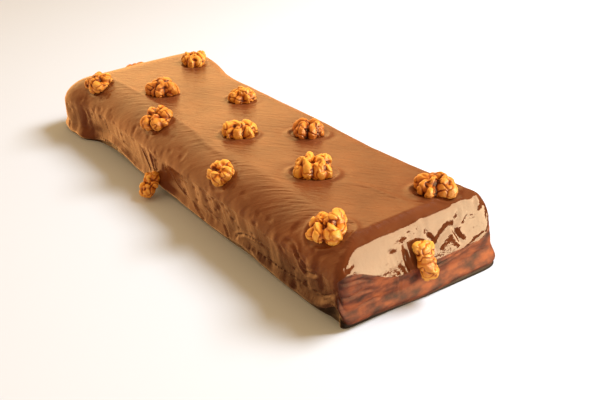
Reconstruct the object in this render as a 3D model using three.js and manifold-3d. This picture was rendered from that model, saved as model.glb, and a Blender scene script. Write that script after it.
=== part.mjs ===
// Chocolate walnut bar cake: one uncut loaf under a poured chocolate glaze, with walnut halves
// pressed into its top and its sides. Millimetres, +Z up. +X runs along the cake to its steep,
// glossy end, and -Y is the long side whose glaze ends in a wavy lip above the foot.
import * as THREE from "three";
import { mergeVertices } from "three/addons/utils/BufferGeometryUtils.js";
import Module from "manifold-3d";

const wasm = await Module();
wasm.setup();

// Driving dimensions of the loaf
const farEnd = -213;
const nearEnd = 209;
const halfWidth = 62;
const topHeight = 55;
const middle = (farEnd + nearEnd) / 2;
const footprintCentre = [-1.93, -0.96]; // middle of loaf and walnuts together: it becomes the origin

// How the top rolls over into each side: reach inwards, drop, and roundness (1 chamfer, 2 ellipse)
const nearShoulder = { reach: 17, browAt: 0.62, browDrop: 5, browCurve: 1.6, softness: 0.8 };
const farShoulder = { reach: 46, drop: 32, roundness: 2.0 };
const leftShoulder = { reach: 26, drop: 22, roundness: 1.6 };
const rightShoulder = { reach: 18, drop: 20, roundness: 1.9 };
const nearDrop = { atLeft: 14, atRight: 34, over: 52 }; // the steep end face gets taller to the right
const cornerPower = { farLeft: 3.0, farRight: 3.0, nearLeft: 6.0, nearRight: 4.5 };

// How far each side's foot stands out from its upper edge
const farFlare = 9;
const nearFlare = 7;
const rightFlare = 6;
const leftSetBack = 4;
const rightMidFlare = 1.5;
const farEndStrength = 0.6; // the right side's foot stands out less at the far end than at the near one
const farEndStart = 0.2; // share of its change that the far end has where its zone begins
const flareCurve = 0.8; // 1 leans out evenly from the shoulder, less than 1 keeps out longer
const nearFlareCurve = 1.8; // the steep end's wall is upright and leans out only at its foot
const endZone = 60; // the long sides change over this length towards the ends
// Where the glaze hangs out in thick runs on the left side: place, half width and height, depth
const drips = [
  { x: -167, z: 0, width: 11, height: 11, out: 5 },
  { x: -19, z: 12, width: 12, height: 12, out: 5 },
];
// Where the long sides swell outwards: to the left (-1) or to the right (+1) at a place along the cake
const swells = [
  { side: -1, x: -202, width: 36, out: 11 },
  { side: 1, x: -162, width: 42, out: 13 },
  { side: 1, x: 212, width: 45, out: 7 },
];
// Slow unevenness of the spread glaze: height of each wave, its run along and across, and its phase
const topWaves = [
  { height: 0.5, along: 31, across: 40, phase: 0 },
  { height: 0.35, along: 17, across: -23, phase: 1.2 },
];

// The glaze's lip: its height above the base where it rises, as bumps along the cake
const lipLow = 1.5;
const lipElsewhere = { height: 1.2, along: 19, across: 30, sway: 2 }; // small waves on the other sides
const lipRises = [
  { x: -113, height: 8, width: 26 },
  { x: -24, height: 7, width: 20 },
  { x: 100, height: 4, width: 20 },
  { x: 206, height: 14, width: 16 },
];
const lipFullUndercut = 8; // a lip this high has the whole undercut below it
const endUndercut = 0.5; // share of the undercut at the ends
const undercutFrom = -1; // rows set back further than this are the undercut
// The foot's section, up from the base: share of the lip's height, rise above that, offset outwards
const footSection = [
  { share: 0, rise: 0, out: -3 },
  { share: 0.8, rise: 0, out: -3.2 },
  { share: 1, rise: 0, out: 0.2 },
  { share: 1, rise: 2.5, out: 1.3 },
  { share: 1, rise: 6, out: 0.4 },
  { share: 1, rise: 9, out: -0.4 },
];
const wallRows = 3; // rows from the foot's section to the shoulder

// Mesh spacing of the loaf
const topStep = 10;
const crossStep = 8;
const endLines = 6;
const longLines = 5;

// Walnut halves: half length, half width and height of a middling one
const walnutSize = { long: 14.6, wide: 11.6, tall: 12.5 };
const walnutDetail = 4;
const walnutLift = 0.5; // its widest section lies this far above the glaze
const undersideFlatness = 0.5;
const lobesPerSide = 4;
// Its core and lobes, as shares of its half length, half width and height
const walnutCore = { long: 0.8, wide: 0.74, tall: 0.5 };
const outerLobe = { along: 0.54, aside: 0.18, bulge: 0.4, lift: 0.16, long: 0.38, wide: 0.27, tall: 0.56 };
const innerLobe = { apart: 0.5, aside: 0.27, lift: 0.46, long: 0.33, wide: 0.2, tall: 0.44 };
// How uneven the lobes are, and the factors of the repeatable scatter behind it
const lobeSpread = { angle: 0.3, size: 0.2, slim: 0.18, lift: 0.13, shift: 0.14, turn: 0.8, innerTurn: 1.2 };
const scatter = { seed: 12.9898, lobe: 78.233, which: 37.719, stretch: 43758.5453 };
const pocketGap = 0.45;
const pocketSides = 14;
const pocketRise = 0.5; // the recess reaches this share of a walnut's height above its widest section

// Each walnut half: place on the top (x, y) or on a side (with z), turn about its own axis in
// degrees, scale along, across and up, and a seed for its lobes
const topWalnuts = [
  { x: -157, y: -47, turn: 12, scale: [1.06, 1.0, 0.88], seed: 1 },
  { x: -93, y: -18, turn: 35, scale: [1.08, 1.0, 1.0], seed: 2 },
  { x: -146, y: 36, turn: 20, scale: [0.98, 1.0, 0.95], seed: 3 },
  { x: -43, y: -47, turn: 28, scale: [1.0, 1.05, 0.88], seed: 4 },
  { x: 27, y: -14, turn: 40, scale: [0.96, 0.9, 0.9], seed: 5 },
  { x: -35, y: 27, turn: 32, scale: [0.96, 0.9, 0.92], seed: 6 },
  { x: 60, y: 27, turn: 50, scale: [1.0, 0.9, 0.95], seed: 7 },
  { x: 116, y: -10, turn: 48, scale: [1.08, 1.0, 1.05], seed: 8 },
  { x: 67, y: -53, turn: 70, scale: [0.82, 1.0, 0.85], seed: 9 },
  { x: 179, y: -46, turn: 30, scale: [1.06, 1.05, 0.9], seed: 10 },
  { x: 186, y: 34, turn: 55, scale: [1.1, 1.0, 0.92], seed: 11 },
];
const sideWalnuts = [
  { at: [-21, -69.6, 9.2], faces: [0.05, -0.78, 0.62], turn: 100, scale: [0.84, 0.68, 0.8], seed: 12 },
  { at: [210.8, 4.5, 27], faces: [0.97, 0, 0.24], turn: 94, scale: [1.2, 0.14, 0.66], seed: 13 },
  { at: [-214, 12, 34], faces: [-0.94, 0, 0.34], turn: 82, scale: [1.0, 0.72, 0.9], seed: 14 },
  { at: [38, 65.5, 20], faces: [0, 0.99, 0.12], turn: 78, scale: [0.96, 0.9, 0.95], seed: 15 },
];

const glaze = new THREE.MeshStandardMaterial({ color: 0xa5683a, roughness: 0.3, metalness: 0 });
const walnutFlesh = new THREE.MeshStandardMaterial({ color: 0xd08b3c, roughness: 0.6, metalness: 0 });

function smooth(t) {
  const s = Math.min(1, Math.max(0, t));
  return s * s * (3 - 2 * s);
}

function bump(value, centre, width) {
  return Math.exp(-(((value - centre) / width) ** 2));
}

function mix(a, b, share) {
  return a * (1 - share) + b * share;
}

// Takes a point of the sharp-cornered plan to the rounded one. depth is 0 on the flat top and 1 at
// the edge, endShare says how far the point belongs to an end rather than to a long side.
function footprint(u, v) {
  const toNear = u >= middle;
  const toRight = v >= 0;
  const endShoulder = toNear ? nearShoulder : farShoulder;
  const longShoulder = toRight ? rightShoulder : leftShoulder;
  const end = toNear ? nearEnd : farEnd;
  const endDepth = Math.max(0, 1 - Math.abs(end - u) / endShoulder.reach);
  const longDepth = Math.max(0, 1 - (halfWidth - Math.abs(v)) / longShoulder.reach);
  const depth = Math.max(endDepth, longDepth);
  if (depth === 0) return { x: u, y: v, depth, endShare: 0, toNear, toRight, nx: 0, ny: 0 };
  const power = cornerPower[(toNear ? "near" : "far") + (toRight ? "Right" : "Left")];
  const angle = endDepth >= longDepth
    ? (Math.PI / 4) * (longDepth / depth)
    : Math.PI / 2 - (Math.PI / 4) * (endDepth / depth);
  const along = Math.cos(angle) ** (2 / power);
  const across = Math.sin(angle) ** (2 / power);
  const outX = toNear ? 1 : -1;
  const outY = toRight ? 1 : -1;
  const x = endDepth > 0 ? end - outX * endShoulder.reach * (1 - depth * along) : u;
  const y = longDepth > 0 ? outY * (halfWidth - longShoulder.reach * (1 - depth * across)) : v;
  const slopeX = along ** (power - 1) / endShoulder.reach;
  const slopeY = across ** (power - 1) / longShoulder.reach;
  const slope = Math.hypot(slopeX, slopeY);
  const nx = (outX * slopeX) / slope;
  const ny = (outY * slopeY) / slope;
  const endShare = along ** power / (along ** power + across ** power);
  return { x, y, depth, endShare, toNear, toRight, nx, ny };
}

// Sideways shift of a point where a long side swells, fading out towards the cake's middle line
function swell(x, y) {
  return swells.reduce((sum, place) => {
    const towardsSide = smooth((place.side * y) / halfWidth);
    return sum + place.side * place.out * bump(x, place.x, place.width) * towardsSide;
  }, 0);
}

function crown(x, y) {
  return topWaves.reduce((sum, { height, along, across, phase }) => {
    return sum + height * Math.sin(x / along + y / across + phase);
  }, 0);
}

// Share of a rounded shoulder's drop at a depth
function rolledShare(depth, roundness) {
  return 1 - (1 - depth ** roundness) ** (1 / roundness);
}

// The steep end rolls over gently as far as its brow, and falls straight from there to its edge
function nearFall(depth, fall) {
  const { browAt, browDrop, browCurve, softness } = nearShoulder;
  const rolled = browDrop * (depth / browAt) ** browCurve;
  const straight = browDrop + ((fall - browDrop) * (depth - browAt)) / (1 - browAt);
  return softness * Math.log(Math.exp(rolled / softness) + Math.exp(straight / softness));
}

function shoulderDrop(point) {
  const fall = mix(nearDrop.atLeft, nearDrop.atRight, smooth((point.y + halfWidth) / nearDrop.over));
  const endDrop = point.toNear
    ? nearFall(point.depth, fall)
    : farShoulder.drop * rolledShare(point.depth, farShoulder.roundness);
  const longShoulder = point.toRight ? rightShoulder : leftShoulder;
  const longDrop = longShoulder.drop * rolledShare(point.depth, longShoulder.roundness);
  return mix(longDrop, endDrop, point.endShare);
}

function topPoint(u, v) {
  const point = footprint(u, v);
  const z = topHeight + crown(point.x, point.y) - shoulderDrop(point);
  return new THREE.Vector3(point.x, point.y + swell(point.x, point.y), z);
}

function lipHeight({ x, y, ny }) {
  const rises = lipRises.reduce((sum, rise) => sum + rise.height * bump(x, rise.x, rise.width), 0);
  const { height, along, across, sway } = lipElsewhere;
  const elsewhere = height * (1 + Math.sin(x / along + sway * Math.sin(y / across)));
  return lipLow + mix(elsewhere, rises, smooth(-ny));
}

// How far the foot stands out from the shoulder's edge at a point of the outline
function flare(point) {
  const endFlare = point.toNear ? nearFlare * smooth((point.y + halfWidth) / (2 * halfWidth)) : farFlare;
  const toFarEnd = smooth((farEnd + endZone - point.x) / endZone + farEndStart);
  const toNearEnd = smooth((point.x - nearEnd + endZone) / endZone);
  const longFlare = point.toRight
    ? mix(rightMidFlare, rightFlare, Math.max(toNearEnd, farEndStrength * toFarEnd))
    : mix(-leftSetBack, 0, toFarEnd);
  return mix(longFlare, endFlare, point.nx * point.nx);
}

// One column of the wall, from the base up to just under the shoulder's edge
function wallColumn(u, v) {
  const point = footprint(u, v);
  const edge = topPoint(u, v);
  const stands = flare(point);
  const curve = point.toNear ? mix(flareCurve, nearFlareCurve, point.nx * point.nx) : flareCurve;
  const lip = lipHeight(point);
  const undercut = Math.min(1, lip / lipFullUndercut) * mix(1, endUndercut, point.nx * point.nx);
  const sections = footSection.map((row) => ({
    z: row.share * lip + row.rise,
    out: row.out * (row.out < undercutFrom ? undercut : 1),
  }));
  const footTop = sections[sections.length - 1].z;
  for (let row = 1; row < wallRows; row += 1) {
    sections.push({ z: mix(footTop, edge.z, row / wallRows), out: 0 });
  }
  return sections.map(({ z, out }) => {
    const hang = drips.reduce((sum, drip) => {
      return sum + drip.out * bump(point.x, drip.x, drip.width) * bump(z, drip.z, drip.height);
    }, 0);
    const dripOut = point.toRight ? 0 : hang * (1 - point.nx * point.nx);
    const offset = stands * (1 - z / edge.z) ** curve + out + dripOut;
    return new THREE.Vector3(edge.x + point.nx * offset, edge.y + point.ny * offset, z);
  });
}

// Grid lines from lo to hi, closing up towards the rounded edges
function gridLines(lo, hi, loReach, hiReach, edgeLines, step) {
  const quarter = Math.PI / 2;
  const ease = Array.from({ length: edgeLines + 1 }, (_, i) => 1 - Math.cos((quarter * i) / edgeLines));
  const first = ease.map((e) => lo + loReach * e);
  const last = ease.map((e) => hi - hiReach * e).reverse();
  const from = first[edgeLines];
  const count = Math.round((last[0] - from) / step);
  const between = Array.from({ length: count - 1 }, (_, i) => mix(from, last[0], (i + 1) / count));
  return [...first, ...between, ...last];
}

// The outline's plan points, counterclockwise, that match the border of the top's grid
function outlinePoints(us, vs) {
  const lastU = us.length - 1;
  const lastV = vs.length - 1;
  const border = [];
  for (let i = 0; i < lastU; i += 1) border.push([i, 0]);
  for (let j = 0; j < lastV; j += 1) border.push([lastU, j]);
  for (let i = lastU; i > 0; i -= 1) border.push([i, lastV]);
  for (let j = lastV; j > 0; j -= 1) border.push([0, j]);
  return border;
}

function buildLoaf() {
  const us = gridLines(farEnd, nearEnd, farShoulder.reach, nearShoulder.reach, endLines, topStep);
  const vs = gridLines(-halfWidth, halfWidth, leftShoulder.reach, rightShoulder.reach, longLines, crossStep);
  const vertices = [];
  const faces = [];
  const quad = (a, b, c, d) => faces.push(a, b, c, a, c, d);
  const topIndex = (i, j) => i * vs.length + j;
  for (const u of us) {
    for (const v of vs) vertices.push(topPoint(u, v));
  }
  for (let i = 0; i + 1 < us.length; i += 1) {
    for (let j = 0; j + 1 < vs.length; j += 1) {
      quad(topIndex(i, j), topIndex(i + 1, j), topIndex(i + 1, j + 1), topIndex(i, j + 1));
    }
  }
  const border = outlinePoints(us, vs);
  const columns = border.map(([i, j]) => {
    const below = wallColumn(us[i], vs[j]).map((vertex) => vertices.push(vertex) - 1);
    return [...below, topIndex(i, j)];
  });
  columns.forEach((column, c) => {
    const next = columns[(c + 1) % columns.length];
    for (let row = 0; row + 1 < column.length; row += 1) {
      quad(column[row], next[row], next[row + 1], column[row + 1]);
    }
  });
  const base = columns.map((column) => column[0]);
  const baseOutline = base.map((index) => new THREE.Vector2(vertices[index].x, vertices[index].y));
  for (const [a, b, c] of THREE.ShapeUtils.triangulateShape(baseOutline, [])) {
    faces.push(base[a], base[c], base[b]);
  }
  const geometry = new THREE.BufferGeometry().setFromPoints(vertices);
  geometry.setIndex(faces);
  return geometry;
}

// A repeatable uneven value from -1 to 1 for each lobe of each walnut
function unevenness(seed, lobe, which) {
  const wave = Math.sin(seed * scatter.seed + lobe * scatter.lobe + which * scatter.which);
  const spun = wave * scatter.stretch;
  return 2 * (spun - Math.floor(spun)) - 1;
}

// The lobes of a walnut half: rounded fingers round it and pairs along both sides of its middle groove
function walnutLobes(seed, [alongScale, acrossScale, upScale]) {
  const long = walnutSize.long * alongScale;
  const wide = walnutSize.wide * acrossScale;
  const tall = walnutSize.tall * upScale;
  const core = [walnutCore.long * long, walnutCore.wide * wide, walnutCore.tall * tall];
  const lobes = [{ centre: [0, 0, 0], radii: core, turn: 0 }];
  const unevenLobe = () => {
    const values = [0, 1, 2, 3, 4].map((which) => unevenness(seed, lobes.length - 1, which));
    const [shift, size, slim, lift, turn] = values;
    return { shift, grow: 1 + lobeSpread.size * size, slim: 1 + lobeSpread.slim * slim, lift, turn };
  };
  for (const side of [-1, 1]) {
    for (let k = 0; k < lobesPerSide; k += 1) {
      const { shift, grow, slim, lift, turn } = unevenLobe();
      const angle = ((k + 0.5) / lobesPerSide) * Math.PI + lobeSpread.angle * shift;
      lobes.push({
        centre: [
          outerLobe.along * long * Math.cos(angle),
          side * wide * (outerLobe.aside + outerLobe.bulge * Math.sin(angle)),
          tall * (outerLobe.lift + lobeSpread.lift * lift),
        ],
        radii: [
          outerLobe.long * long * grow * slim,
          (outerLobe.wide * long * grow) / slim,
          outerLobe.tall * tall * grow,
        ],
        turn: side * angle + lobeSpread.turn * turn,
      });
    }
    for (const half of [-0.5, 0.5]) {
      const { shift, grow, lift, turn } = unevenLobe();
      lobes.push({
        centre: [
          long * (half * innerLobe.apart + lobeSpread.shift * shift),
          side * wide * innerLobe.aside,
          tall * (innerLobe.lift + lobeSpread.lift * lift),
        ],
        radii: [innerLobe.long * long * grow, innerLobe.wide * long * grow, innerLobe.tall * tall],
        turn: lobeSpread.innerTurn * turn,
      });
    }
  }
  return lobes;
}

// Distance from the walnut's centre to the far side of one lobe along a direction
function reachOfLobe(direction, { centre, radii, turn }) {
  const c = Math.cos(turn);
  const s = Math.sin(turn);
  const local = ([x, y, z]) => [(c * x + s * y) / radii[0], (c * y - s * x) / radii[1], z / radii[2]];
  const ray = local(direction);
  const mid = local(centre);
  const dot = (a, b) => a[0] * b[0] + a[1] * b[1] + a[2] * b[2];
  const towards = dot(ray, mid);
  const inside = towards * towards - dot(ray, ray) * (dot(mid, mid) - 1);
  return inside < 0 ? 0 : (towards + Math.sqrt(inside)) / dot(ray, ray);
}

function buildWalnut({ seed, scale }) {
  const geometry = new THREE.IcosahedronGeometry(1, walnutDetail);
  geometry.deleteAttribute("normal");
  geometry.deleteAttribute("uv");
  const merged = mergeVertices(geometry, 1e-4);
  const lobes = walnutLobes(seed, scale);
  const position = merged.getAttribute("position");
  for (let i = 0; i < position.count; i += 1) {
    const direction = [position.getX(i), position.getY(i), position.getZ(i)];
    const reach = Math.max(...lobes.map((lobe) => reachOfLobe(direction, lobe)));
    const z = direction[2] * reach;
    position.setXYZ(i, direction[0] * reach, direction[1] * reach, z < 0 ? z * undersideFlatness : z);
  }
  return merged;
}

// Where a walnut lies: at a point, with its domed side along a direction, turned about that
function placement(at, faces, turnDegrees) {
  const up = faces.clone().normalize();
  const along = new THREE.Vector3(1, 0, 0).addScaledVector(up, -up.x);
  const tooShort = 0.3; // the walnut faces along X, so its own length is counted from Y
  if (along.length() < tooShort) along.set(0, 1, 0).addScaledVector(up, -up.y);
  along.normalize();
  const across = new THREE.Vector3().crossVectors(up, along);
  const frame = new THREE.Matrix4().makeBasis(along, across, up).setPosition(at);
  return frame.multiply(new THREE.Matrix4().makeRotationZ(THREE.MathUtils.degToRad(turnDegrees)));
}

// Point and outward normal of the glaze over a plan point
function seatOnTop(x, y) {
  const step = 2;
  const at = topPoint(x, y);
  const alongX = topPoint(x + step, y).sub(topPoint(x - step, y));
  const alongY = topPoint(x, y + step).sub(topPoint(x, y - step));
  const faces = new THREE.Vector3().crossVectors(alongX, alongY).normalize();
  return { at: at.addScaledVector(faces, walnutLift), faces };
}

// An elliptical recess round the sunk part of a walnut, just clear of it
function pocketFor(walnut, { scale }) {
  const half = [walnutSize.long * scale[0], walnutSize.wide * scale[1]];
  const position = walnut.getAttribute("position");
  let widest = 0;
  let lowest = 0;
  for (let i = 0; i < position.count; i += 1) {
    widest = Math.max(widest, Math.hypot(position.getX(i) / half[0], position.getY(i) / half[1]));
    lowest = Math.min(lowest, position.getZ(i));
  }
  const above = pocketRise * walnutSize.tall;
  const below = pocketGap - lowest;
  const corner = 1 / Math.cos(Math.PI / pocketSides); // the prism's flats clear the ellipse
  const recess = new THREE.CylinderGeometry(corner, corner, above + below, pocketSides);
  recess.rotateX(Math.PI / 2);
  recess.translate(0, 0, (above - below) / 2);
  recess.scale(half[0] * widest + pocketGap, half[1] * widest + pocketGap, 1);
  return recess;
}

function toSolid(geometry) {
  const bare = geometry.clone();
  bare.deleteAttribute("normal");
  bare.deleteAttribute("uv");
  const merged = mergeVertices(bare, 1e-4);
  const vertProperties = new Float32Array(merged.getAttribute("position").array);
  const triVerts = new Uint32Array(merged.getIndex().array);
  return new wasm.Manifold(new wasm.Mesh({ numProp: 3, vertProperties, triVerts }));
}

function toGeometry(solid) {
  const { vertProperties, triVerts } = solid.getMesh();
  const geometry = new THREE.BufferGeometry();
  geometry.setAttribute("position", new THREE.BufferAttribute(new Float32Array(vertProperties), 3));
  geometry.setIndex(new THREE.BufferAttribute(new Uint32Array(triVerts), 1));
  geometry.computeVertexNormals();
  return geometry;
}

function buildCake() {
  const cake = new THREE.Group();
  const seated = [
    ...topWalnuts.map((walnut) => ({ walnut, ...seatOnTop(walnut.x, walnut.y) })),
    ...sideWalnuts.map((walnut) => ({
      walnut,
      at: new THREE.Vector3(...walnut.at),
      faces: new THREE.Vector3(...walnut.faces),
    })),
  ];
  let loaf = toSolid(buildLoaf());
  seated.forEach(({ walnut, at, faces }, index) => {
    const geometry = buildWalnut(walnut);
    const frame = placement(at, faces, walnut.turn);
    loaf = loaf.subtract(toSolid(pocketFor(geometry, walnut).applyMatrix4(frame)));
    const mesh = new THREE.Mesh(geometry, walnutFlesh);
    mesh.name = `walnut_${String(index + 1).padStart(2, "0")}`;
    frame.decompose(mesh.position, mesh.quaternion, mesh.scale);
    geometry.computeVertexNormals();
    cake.add(mesh);
  });
  const body = new THREE.Mesh(toGeometry(loaf), glaze);
  body.name = "cake";
  cake.add(body);
  cake.position.set(-footprintCentre[0], -footprintCentre[1], 0);
  return cake;
}

const walnutCake = new THREE.Group();
walnutCake.add(buildCake());

export default walnutCake;
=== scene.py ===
import math

import bpy
import numpy as np
from mathutils import Matrix, Vector


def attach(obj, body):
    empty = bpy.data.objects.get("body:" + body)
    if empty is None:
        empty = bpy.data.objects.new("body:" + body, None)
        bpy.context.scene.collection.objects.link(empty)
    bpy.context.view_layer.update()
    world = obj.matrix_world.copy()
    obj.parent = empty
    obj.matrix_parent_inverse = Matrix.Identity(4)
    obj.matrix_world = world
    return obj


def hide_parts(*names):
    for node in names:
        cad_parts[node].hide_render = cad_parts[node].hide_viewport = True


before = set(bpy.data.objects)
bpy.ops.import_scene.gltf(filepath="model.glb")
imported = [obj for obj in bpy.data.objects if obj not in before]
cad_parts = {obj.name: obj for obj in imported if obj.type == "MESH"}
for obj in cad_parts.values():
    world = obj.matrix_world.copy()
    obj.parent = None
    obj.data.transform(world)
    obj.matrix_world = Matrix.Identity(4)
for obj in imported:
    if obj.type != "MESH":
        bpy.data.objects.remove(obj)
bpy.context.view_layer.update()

# Chocolate walnut bar cake: a loaf under poured glaze and fifteen walnut halves.
# Shapes are worked out in millimetres in the loaf's own frame and end up in metres in the row frame.

mm = 0.001
print("stage 1: frame with", len(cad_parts), "nodes")


# The loaf
loaf = {
    "farEnd": -213.0,
    "nearEnd": 209.0,
    "halfWidth": 62.0,
    "topHeight": 55.0,
    "footprintCentre": (-1.93, -0.96),  # becomes the origin of the row frame
    "nearReach": 17.0,
    "browAt": 0.62,  # the steep end rolls over as far as its brow and falls straight from there
    "browDrop": 5.0,
    "browCurve": 1.6,
    "browSoftness": 0.8,
    "nearDropLeft": 14.0,
    "nearDropRight": 34.0,
    "nearDropOver": 52.0,
    "farReach": 46.0,
    "farDrop": 32.0,
    "farRoundness": 2.0,
    "leftReach": 26.0,
    "leftDrop": 22.0,
    "leftRoundness": 1.6,
    "rightReach": 18.0,
    "rightDrop": 20.0,
    "rightRoundness": 1.9,
    "cornerPower": {(True, False): 6.0, (True, True): 4.5, (False, False): 3.0, (False, True): 3.0},
    "farFlare": 9.0,
    "nearFlare": 7.0,
    "rightFlare": 6.0,
    "rightMidFlare": 1.5,
    "farEndStrength": 0.6,
    "farEndStart": 0.2,
    "flareCurve": 0.8,
    "nearFlareCurve": 2.2,
    "leftSetBack": 4.0,
    "endZone": 60.0,
    "lipLow": 1.5,
    "lipWave": 1.2,
    "lipWaveRuns": (19, 30),  # along and across
    "lipWaveBend": 2,
    "lipFullUndercut": 8.0,
    "undercutBeyond": -1,  # offsets further in than this belong to the undercut
    "lipBlend": 3,
    "endUndercut": 0.5,
    "step": 1.35,  # spacing of the fine mesh
    "edgeLines": 28,
    "wallRows": 30,
    "footRows": 13,
}
# side, place along the cake, half width, depth of each swell of the long sides
swells = ((-1, -202, 36, 11), (1, -162, 42, 13), (1, 212, 45, 7))
# place, height, half width, half height, depth of the thick runs on the left side
drips = ((-167, 0, 11, 11, 5), (-19, 12, 12, 12, 5))
# place, height, half width of the rises of the lip on the left side
lipRises = ((-113, 8, 26), (-24, 7, 20), (100, 4, 20), (206, 14, 16))
# share of the lip's height, rise above it, offset outwards
footSection = ((0, 0, -3), (0.8, 0, -3.2), (1, 0, 0.2), (1, 2.5, 1.3), (1, 6, 0.4), (1, 9, -0.4))
topWaves = ((0.5, 31, 40, 0), (0.35, 17, -23, 1.2))  # height, run along, run across, phase
middle = (loaf["farEnd"] + loaf["nearEnd"]) / 2


def smooth(t):
    s = np.clip(t, 0, 1)
    return s * s * (3 - 2 * s)


def fade(value, start, run):
    return smooth((value - start) / run)


def bump(value, centre, width):
    return np.exp(-(((value - centre) / width) ** 2))


def mix(a, b, share):
    return a * (1 - share) + b * share


# An uneven but repeatable value from 0 to 1 for each cell
def lattice(ix, iy, iz, seed):
    h = np.sin(ix * 127.1 + iy * 311.7 + iz * 74.7 + seed * 53.3) * 43758.5453
    return h - np.floor(h)


# Smooth noise round 0 over points, with features of the given size along each axis
def cloud(points, size, seed, octaves=1):
    total = np.zeros(len(points))
    weight = 1.0
    q = points / np.asarray(size, float)
    for octave in range(octaves):
        cell = np.floor(q)
        f = q - cell
        f = f * f * (3 - 2 * f)
        value = 0
        for corner in range(8):
            dx, dy, dz = corner & 1, corner >> 1 & 1, corner >> 2
            wx = f[:, 0] if dx else 1 - f[:, 0]
            wy = f[:, 1] if dy else 1 - f[:, 1]
            wz = f[:, 2] if dz else 1 - f[:, 2]
            there = (cell + (dx, dy, dz)).T
            value = value + wx * wy * wz * lattice(*there, seed + octave)
        total += weight * (2 * value - 1)
        weight *= 0.5
        q = q * 2.03  # not quite twice as fine, so that the octaves don't line up
    return total


# Takes points of the sharp-cornered plan to the rounded one, with the outline's normal there
def footprint(u, v):
    toNear = u >= middle
    toRight = v >= 0
    endReach = np.where(toNear, loaf["nearReach"], loaf["farReach"])
    longReach = np.where(toRight, loaf["rightReach"], loaf["leftReach"])
    end = np.where(toNear, loaf["nearEnd"], loaf["farEnd"])
    endDepth = np.maximum(0, 1 - np.abs(end - u) / endReach)
    longDepth = np.maximum(0, 1 - (loaf["halfWidth"] - np.abs(v)) / longReach)
    depth = np.maximum(endDepth, longDepth)
    safe = np.where(depth > 0, depth, 1)
    power = np.zeros_like(u)
    for (near, right), value in loaf["cornerPower"].items():
        power = np.where((toNear == near) & (toRight == right), value, power)
    fromEnd = math.pi / 4 * longDepth / safe
    fromSide = math.pi / 2 - math.pi / 4 * endDepth / safe
    angle = np.where(endDepth >= longDepth, fromEnd, fromSide)
    along = np.clip(np.cos(angle), 0, 1) ** (2 / power)
    across = np.clip(np.sin(angle), 0, 1) ** (2 / power)
    outX = np.where(toNear, 1, -1)
    outY = np.where(toRight, 1, -1)
    x = np.where(endDepth > 0, end - outX * endReach * (1 - depth * along), u)
    y = np.where(longDepth > 0, outY * (loaf["halfWidth"] - longReach * (1 - depth * across)), v)
    slopeX = along ** (power - 1) / endReach
    slopeY = across ** (power - 1) / longReach
    slope = np.hypot(slopeX, slopeY)
    onShoulder = depth > 0
    endShare = along ** power / (along ** power + across ** power)
    return {
        "x": x,
        "y": y,
        "depth": depth,
        "endShare": np.where(onShoulder, endShare, 0),
        "toNear": toNear,
        "toRight": toRight,
        "nx": np.where(onShoulder, outX * slopeX / slope, 0),
        "ny": np.where(onShoulder, outY * slopeY / slope, 0),
    }


# How far the swells of the long sides move a point outwards
def swell(x, y):
    shift = np.zeros_like(x)
    for side, centre, width, out in swells:
        shift = shift + side * out * bump(x, centre, width) * smooth(side * y / loaf["halfWidth"])
    return shift


def rolledShare(depth, roundness):
    return 1 - (1 - depth ** roundness) ** (1 / roundness)


# The steep end: a gentle roll as far as the brow, then a straight face
def nearFall(depth, fall):
    brow, drop, soft = loaf["browAt"], loaf["browDrop"], loaf["browSoftness"]
    rolled = drop * (depth / brow) ** loaf["browCurve"]
    straight = drop + (fall - drop) * (depth - brow) / (1 - brow)
    return soft * np.logaddexp(rolled / soft, straight / soft)


def shoulderDrop(p):
    depth = np.clip(p["depth"], 0, 1)
    nearShare = smooth((p["y"] + loaf["halfWidth"]) / loaf["nearDropOver"])
    fall = mix(loaf["nearDropLeft"], loaf["nearDropRight"], nearShare)
    farFall = loaf["farDrop"] * rolledShare(depth, loaf["farRoundness"])
    endDrop = np.where(p["toNear"], nearFall(depth, fall), farFall)
    leftDrop = loaf["leftDrop"] * rolledShare(depth, loaf["leftRoundness"])
    rightDrop = loaf["rightDrop"] * rolledShare(depth, loaf["rightRoundness"])
    return mix(np.where(p["toRight"], rightDrop, leftDrop), endDrop, p["endShare"])


def topPoints(u, v):
    p = footprint(u, v)
    crown = np.zeros_like(u)
    for height, along, across, phase in topWaves:
        crown = crown + height * np.sin(p["x"] / along + p["y"] / across + phase)
    z = loaf["topHeight"] + crown - shoulderDrop(p)
    return np.stack([p["x"], p["y"] + swell(p["x"], p["y"]), z], -1), p


def lipHeight(p):
    rises = np.zeros_like(p["x"])
    for x, height, width in lipRises:
        rises = rises + height * bump(p["x"], x, width)
    runAlong, runAcross = loaf["lipWaveRuns"]
    wave = np.sin(p["x"] / runAlong + loaf["lipWaveBend"] * np.sin(p["y"] / runAcross))
    elsewhere = loaf["lipWave"] * (1 + wave)
    return loaf["lipLow"] + mix(elsewhere, rises, smooth(-p["ny"]))


# How far the foot stands out from the shoulder's edge
def flare(p):
    nearShare = smooth((p["y"] + loaf["halfWidth"]) / (2 * loaf["halfWidth"]))
    endFlare = np.where(p["toNear"], loaf["nearFlare"] * nearShare, loaf["farFlare"])
    toFar = smooth((loaf["farEnd"] + loaf["endZone"] - p["x"]) / loaf["endZone"] + loaf["farEndStart"])
    toNear = smooth((p["x"] - loaf["nearEnd"] + loaf["endZone"]) / loaf["endZone"])
    rightShare = np.maximum(toNear, loaf["farEndStrength"] * toFar)
    right = mix(loaf["rightMidFlare"], loaf["rightFlare"], rightShare)
    left = mix(-loaf["leftSetBack"], 0, toFar)
    return mix(np.where(p["toRight"], right, left), endFlare, p["nx"] ** 2)


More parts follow.
